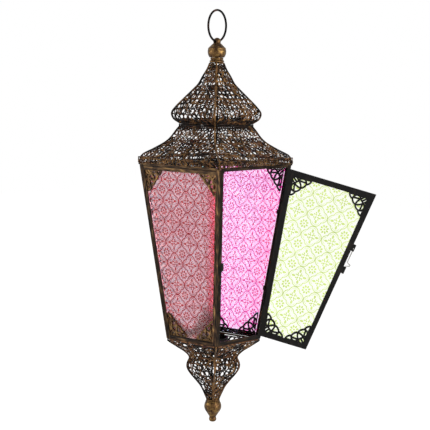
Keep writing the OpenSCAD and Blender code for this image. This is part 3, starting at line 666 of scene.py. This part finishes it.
BASKET = profile(
    [(0, 1), (0.11, 0.53), (0.175, 0.25), (0.25, 0.04), (0.295, 0)],
    BASKET_Z, -BASKET_H, BASKET_NECK_W, BODY_BOTTOM_W - 2 * RIB_R
) + profile(
    [(0.365, 0.72), (0.425, 1)], BASKET_Z, -BASKET_H, BASKET_NECK_W, BASKET_BULGE_W
) + profile(
    [(0.485, 0.96), (0.57, 0.8), (0.69, 0.5), (0.78, 0.3), (0.89, 0.14), (1, 0)],
    BASKET_Z, -BASKET_H, BASKET_FOOT_W, BASKET_BULGE_W)

# Levels at which rods cross the openwork
LOWER_ROD_Z = 278
UPPER_ROD_Z = 338
BASKET_ROD_Z = -24.2
NECK_ROD_Z = -34

# Zones of the openwork: lower level, upper level, cell size and share of dark wires
EAVE_ZONES = [(EAVE_Z, EAVE_TOP_Z, 5.2, 0)]
LOWER_ZONES = [(LOWER_Z, LOWER_ROD_Z, 7.6, 0), (LOWER_ROD_Z, 294, 7.6, 0), (294, 299.5, 4.8, 0.7)]
UPPER_ZONES = [
    (UPPER_Z, 309, 4, 0.8), (309, UPPER_ROD_Z, 8.2, 0.1), (UPPER_ROD_Z, 362, 8.2, 0.1),
    (362, 380, 6.8, 0.1), (380, 387.8, 5, 0.6)]
BASKET_ZONES = [
    (BASKET_Z, BASKET_ROD_Z, 10.5, 0.1), (BASKET_ROD_Z, NECK_ROD_Z, 6.8, 0.2),
    (NECK_ROD_Z, -74, 9.6, 0.25), (-74, -86.8, 5.2, 0.6)]

# Rods across the openwork: level, wire and radius
LOWER_RODS = [(LOWER_ROD_Z, BROWN, 0.7), (298.9, IRON, 1.0)]
UPPER_RODS = [(UPPER_Z, IRON, 1.5), (308.5, IRON, 0.8), (UPPER_ROD_Z, BROWN, 0.7)]
BASKET_RODS = [(-4.0, IRON, 0.8), (BASKET_ROD_Z, BROWN, 0.8), (NECK_ROD_Z, BROWN, 0.7)]

# Ends of the corner ribs: half width and level
LOWER_RIB_ENDS = ((EAVE_W / 2, 246.1), (WAIST_W / 2, 302.7))
UPPER_RIB_ENDS = ((WAIST_W / 2, 303.0), (6.8, 388.3))
BASKET_RIB_ENDS = ((BODY_BOTTOM_W / 2 - RIB_R, -0.1), (6.0, -87.3))

# Radii of the wires
EAVE_WIRE_R = 0.5
LOWER_WIRE_R = 0.68
UPPER_WIRE_R = 0.74
BASKET_WIRE_R = 0.85


def make_openwork():
    lower, upper, basket = Skin(LOWER), Skin(UPPER), Skin(BASKET)
    openwork("lower_roof_lace", lower, LOWER_ZONES, LOWER_WIRE_R, LOWER_RODS)
    openwork("upper_roof_lace", upper, UPPER_ZONES, UPPER_WIRE_R, UPPER_RODS)
    openwork("basket_lace", basket, BASKET_ZONES, BASKET_WIRE_R, BASKET_RODS)
    openwork("eave_lace", Skin(EAVE), EAVE_ZONES, EAVE_WIRE_R)
    round_ribs("lower_roof_ribs", lower, *LOWER_RIB_ENDS)
    round_ribs("upper_roof_ribs", upper, *UPPER_RIB_ENDS)
    round_ribs("basket_ribs", basket, *BASKET_RIB_ENDS)


def make_waist_rods():
    """Rods around the waist, which turn with the roof."""
    wires = Wires(ROD_SIDES)
    waist = Skin([(WAIST_W / 2, WAIST_Z - 1), (WAIST_W / 2, WAIST_Z + 1)])
    seam(waist, waist.length_at(WAIST_Z), wires, RIB_R + HOOP_R, IRON, HOOP_R)
    piece = wires.build("waist_hoop_rods")
    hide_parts("waist_hoop")


# Painted shadow lines, dark rods along the rails: distance from the rail's edge, depth in the sheet and
# radii
SHADOW_LINE_INSET = 1.5
SHADOW_LINE_DEPTH = 0.2
TOP_SHADOW_LINE_R = 0.6
FOOT_SHADOW_LINE_R = 1.0


def make_rail_shadow_lines():
    """Painted shadow lines: thin dark rods along the rails of the three glazed sides."""
    wires = Wires(LINE_SIDES)
    for side in (FRONT, BACK, LEFT):
        outward = FACES[side].to_3x3() @ Vector((0, -1, 0))
        for w, radius in ((FACE_H - SHADOW_LINE_INSET, TOP_SHADOW_LINE_R), (BOTTOM_RAIL_H - SHADOW_LINE_INSET, FOOT_SHADOW_LINE_R)):
            half = face_half(w) - POST_LEG
            ends = [FACES[side] @ Vector((u, SHADOW_LINE_DEPTH, w)) for u in (-half, 0, half)]
            wires.add(ends, [outward] * 3, radius, IRON)
    wires.build("rail_shadow_lines")


# Pressed pattern of the glass: quatrefoils on a square lattice with florets between them
PITCH = 29.6
LATTICE_U = range(-5, 6)
LATTICE_W = range(-6, 6)
# Height of the lines and dots over the pane, and how far their bodies reach into it
RISE = 0.1
SINK = 0.3
DOT_SINK = 1.2 * SINK
LOBE_R = 0.255 * PITCH
LOBE_AT = 0.232 * PITCH
ECHO_INSET = 2.3
ECHO_SHARE = 0.8
LOBE_STEPS = 12
ECHO_STEPS = 8
LOBE_HALF = 0.85
ECHO_HALF = 0.36
STROKE_HALF = 0.95
STROKE_AT = (0.04 * PITCH, 0.09 * PITCH, 0.14 * PITCH)
# Places and sizes of the dots: long and wide half sizes
PETAL_AT = 0.27 * PITCH
PETAL = (2.8, 1.6)
SEED_AT = 0.17 * PITCH
SEED_TURN = 0.33
SEED = (1.3, 0.95)
FLORET_AT = 0.155 * PITCH
FLORET_PETALS = 8
FLORET_PETAL = (1.95, 1.4)
FLORET_HEART = (1.4, 1.4)
DOT_SIDES = 8


def polar(u, w, r, a):
    return u + r * math.cos(a), w + r * math.sin(a)


def arc(u, w, r, middle, half, steps):
    return [polar(u, w, r, middle - half + 2 * half * i / steps) for i in range(steps + 1)]


class Relief:
    """Raised lines and dots on a pane, within its outline."""
    LINE, DOT = 0, 1

    def __init__(self, matrix, y, inside):
        self.matrix = matrix
        self.y = y
        self.inside = inside
        self.verts = []
        self.faces = []
        self.marks = []

    def mark(self, kind):
        self.marks += [kind] * (len(self.faces) - len(self.marks))

    def put(self, u, w, rise):
        self.verts.append(self.matrix @ Vector((u, self.y - rise, w)))

    def line(self, points, half, kind):
        run = []
        for point in points:
            if self.inside(*point):
                run.append(Vector(point))
            else:
                self.ridge(run, half)
                run = []
        self.ridge(run, half)
        self.mark(kind)

    def ridge(self, run, half):
        last = len(run) - 1
        if last < 1:
            return
        start = len(self.verts)
        for i, point in enumerate(run):
            along = (run[min(i + 1, last)] - run[max(i - 1, 0)]).normalized()
            side = Vector((-along[1], along[0])) * half
            self.put(*(point + side), -SINK)
            self.put(*point, RISE)
            self.put(*(point - side), -SINK)
        for i in range(last):
            a = start + 3 * i
            b = a + 3
            self.faces += [(a, b, b + 1, a + 1), (a + 1, b + 1, b + 2, a + 2), (a + 2, b + 2, b, a)]
        end = start + 3 * last
        self.faces += [(start, start + 1, start + 2), (end + 2, end + 1, end)]

    def dot(self, u, w, turn, long, wide):
        if not self.inside(u, w):
            return
        start = len(self.verts)
        c, d = math.cos(turn), math.sin(turn)
        for k in range(DOT_SIDES):
            a = 2 * math.pi * k / DOT_SIDES
            x, y = long * math.cos(a), wide * math.sin(a)
            self.put(u + x * c - y * d, w + x * d + y * c, -SINK)
        self.put(u, w, RISE)
        self.put(u, w, -DOT_SINK)
        top = start + DOT_SIDES
        for k in range(DOT_SIDES):
            n = start + (k + 1) % DOT_SIDES
            self.faces += [(start + k, n, top), (n, start + k, top + 1)]
        self.mark(self.DOT)


def quatrefoil(relief, u, w):
    meet = (LOBE_AT + math.sqrt(2 * LOBE_R ** 2 - LOBE_AT ** 2)) / 2
    half = math.atan2(meet, meet - LOBE_AT)
    for quarter in range(4):
        turn = math.pi / 2 * quarter
        centre = polar(u, w, LOBE_AT, turn)
        relief.line(arc(*centre, LOBE_R, turn, half, LOBE_STEPS), LOBE_HALF, relief.LINE)
        echo = arc(*centre, LOBE_R - ECHO_INSET, turn, ECHO_SHARE * half, ECHO_STEPS)
        relief.line(echo, ECHO_HALF, relief.LINE)
        relief.dot(*polar(u, w, PETAL_AT, turn), turn, *PETAL)
        diagonal = turn + math.pi / 4
        relief.line([polar(u, w, r, diagonal) for r in STROKE_AT], STROKE_HALF, relief.DOT)
        for off in (-SEED_TURN, SEED_TURN):
            relief.dot(*polar(u, w, SEED_AT, diagonal + off), diagonal, *SEED)


def floret(relief, u, w):
    step = 2 * math.pi / FLORET_PETALS
    for k in range(FLORET_PETALS):
        a = step / 2 + step * k
        relief.dot(*polar(u, w, FLORET_AT, a), a, *FLORET_PETAL)
    relief.dot(u, w, 0, *FLORET_HEART)


def pattern(name, matrix, y, inside, phase, body):
    relief = Relief(matrix, y, inside)
    for i in LATTICE_U:
        for j in LATTICE_W:
            u, w = phase[0] + i * PITCH, phase[1] + j * PITCH
            quatrefoil(relief, u, w)
            floret(relief, u + PITCH / 2, w + PITCH / 2)
    new_mesh(
        name + "_relief", relief.verts, relief.faces, relief.marks, (name + "_line", name + "_dot"),
        body, smooth=False)


# Margins of the patterns in the sides and in the door's frame
PANE_MARGIN_W = 7.3
PANE_MARGIN_H = 3.5
DOOR_GAP_FOOT = 10.8
DOOR_GAP_TOP = 6.6
DOOR_HINGE_GAP = 0.8
STILE_W = 3.2
DOOR_RAIL_FOOT = 10.0
DOOR_RAIL_TOP = 6.6
# Depths at which the patterns lie in the sides and in the door
PANE_DEPTH = 2.3
DOOR_PANE_DEPTH = 1.32
# Middle of one quatrefoil on each pane
RED_AT = (7.4, 199.2)
PINK_AT = (11.6, 197.4)
BLUE_AT = (0.0, 199.0)
GREEN_AT = (9.2, 162.0)


def in_pane(u, w):
    return PANE_MARGIN_H < w < FACE_H - PANE_MARGIN_H and abs(u) < face_half(w) - PANE_MARGIN_W


def in_door(u, w):
    frame_half = face_half(w) - POST_LEG
    gap = DOOR_GAP_FOOT + (DOOR_GAP_TOP - DOOR_GAP_FOOT) * w / FACE_H
    right = frame_half - DOOR_HINGE_GAP - STILE_W
    left = frame_half - gap - STILE_W
    return DOOR_RAIL_FOOT < w < FACE_H - DOOR_RAIL_TOP and -left < u < right


def make_patterns():
    pattern("glass_red", FACES[FRONT], PANE_DEPTH, in_pane, RED_AT, "lantern_body")
    pattern("glass_pink", FACES[BACK], PANE_DEPTH, in_pane, PINK_AT, "lantern_body")
    pattern("glass_blue", FACES[LEFT], PANE_DEPTH, in_pane, BLUE_AT, "lantern_body")
    pattern("glass_green", OPEN_DOOR, DOOR_PANE_DEPTH, in_door, GREEN_AT, "door")


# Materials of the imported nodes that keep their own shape
KEPT = {
    "antique_sheet": (
        "corner_post_near", "corner_post_right", "corner_post_far", "corner_post_left"),
    "rail_sheet": ("top_rails", "door_header", "eave_hoops"),
    "foot_rail_sheet": ("bottom_rails",),
    # Painted shade: the back and door traceries take the blackened sheet, while the same tracery on the
    # front and left is gilt
    "gilt_sheet": ("tracery_front", "tracery_left"),
    "brown_wire": ("basket_hoop",),
    "blackened_sheet": (
        "pane_tabs", "tracery_back", "tracery_door", "candle_cup",
        "cup_straps", "post_hinge_leaves", "stop_tab", "door_stiles", "door_rails", "door_hinge_leaves",
        "latch_block_upper", "latch_block_lower", "hinge_pins"),
    "antique_brass": ("top_finial", "bottom_finial", "roof_collar", "foot_collar"),
    "dark_wire": ("hanging_ring",),
    "bright_steel": ("latch_wire", "cup_rivet", "top_nut", "bottom_nut"),
    "glass_red": ("glass_red",),
    "glass_pink": ("glass_pink",),
    "glass_blue": ("glass_blue",),
    "glass_green": ("glass_green",),
}


def dress_nodes():
    for material, names in KEPT.items():
        for name in names:
            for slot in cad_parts[name].material_slots:
                slot.material = MATERIALS[material]


# Studio: the floor's size and level, the lamps' place and the light of the floor and world
FLOOR_HALF = 6.0
FLOOR_Z = -0.95
LAMP_TARGET_Z = 150
LAMP_AWAY = 1.6
LAMP_RISE = math.radians(8)
WHITE = (1, 1, 1, 1)
WORLD_LIGHT = 0.6
FLOOR_LIT = 0.8
FLOOR_SEEN_LIT = 0.4
FLOOR_GLOW = 0.8


def white_where_seen(tree, lit, seen):
    """Mix of a lit shader and a seen one by the kind of ray."""
    path = tree.nodes.new("ShaderNodeLightPath")
    most = path.outputs["Is Camera Ray"]
    for kind in ("Is Glossy Ray", "Is Transmission Ray"):
        node = tree.nodes.new("ShaderNodeMath")
        node.operation = "MAXIMUM"
        tree.links.new(most, node.inputs[0])
        tree.links.new(path.outputs[kind], node.inputs[1])
        most = node.outputs[0]
    mix = tree.nodes.new("ShaderNodeMixShader")
    tree.links.new(most, mix.inputs[0])
    tree.links.new(lit.outputs[0], mix.inputs[1])
    tree.links.new(seen.outputs[0], mix.inputs[2])
    return mix


def make_world():
    world = bpy.data.worlds.new("studio")
    bpy.context.scene.world = world
    world.use_nodes = True
    tree = world.node_tree
    tree.nodes.clear()
    lit = tree.nodes.new("ShaderNodeBackground")
    lit.inputs["Strength"].default_value = WORLD_LIGHT
    seen = tree.nodes.new("ShaderNodeBackground")
    seen.inputs["Strength"].default_value = 1.0
    for node in (lit, seen):
        node.inputs["Color"].default_value = WHITE
    output = tree.nodes.new("ShaderNodeOutputWorld")
    tree.links.new(white_where_seen(tree, lit, seen).outputs[0], output.inputs["Surface"])


def gray(level):
    return (level, level, level, 1)


def make_floor():
    t = Nodes("floor")
    lit = t.add("BsdfDiffuse", Color=gray(FLOOR_LIT))
    part = t.add("BsdfDiffuse", Color=gray(FLOOR_SEEN_LIT))
    glow = t.add("Emission", Color=WHITE, Strength=FLOOR_GLOW)
    seen = t.add("AddShader")
    t.tree.links.new(part.outputs[0], seen.inputs[0])
    t.tree.links.new(glow.outputs[0], seen.inputs[1])
    t.finish(white_where_seen(t.tree, lit, seen))
    mesh = bpy.data.meshes.new("floor")
    corners = [(x * FLOOR_HALF, y * FLOOR_HALF, FLOOR_Z) for x, y in ((-1, -1), (1, -1), (1, 1), (-1, 1))]
    mesh.from_pydata(corners, [], [(0, 1, 2, 3)])
    mesh.materials.append(t.material)
    floor = bpy.data.objects.new("floor", mesh)
    bpy.context.scene.collection.objects.link(floor)


def make_lamp(name, turn, size, power):
    """A round lamp that looks at the lantern, at a turn from the front in degrees."""
    data = bpy.data.lights.new(name, "AREA")
    data.shape = "DISK"
    data.size = size
    data.energy = power
    lamp = bpy.data.objects.new(name, data)
    a = math.radians(turn)
    flat = math.cos(LAMP_RISE)
    way = Vector((math.sin(a) * flat, -math.cos(a) * flat, math.sin(LAMP_RISE)))
    lamp.location = base(0, 0, LAMP_TARGET_Z) + way * LAMP_AWAY
    lamp.rotation_euler = way.to_track_quat("Z", "Y").to_euler()
    bpy.context.scene.collection.objects.link(lamp)


def main():
    make_camera()
    make_materials()
    dress_nodes()
    make_openwork()
    make_rail_shadow_lines()
    make_waist_rods()
    make_patterns()
    make_world()
    make_floor()
    make_lamp("key", turn=94, size=1.0, power=32.0)
    make_lamp("fill", turn=-34, size=0.7, power=12.0)
    bpy.context.scene.view_settings.view_transform = "Standard"


main()
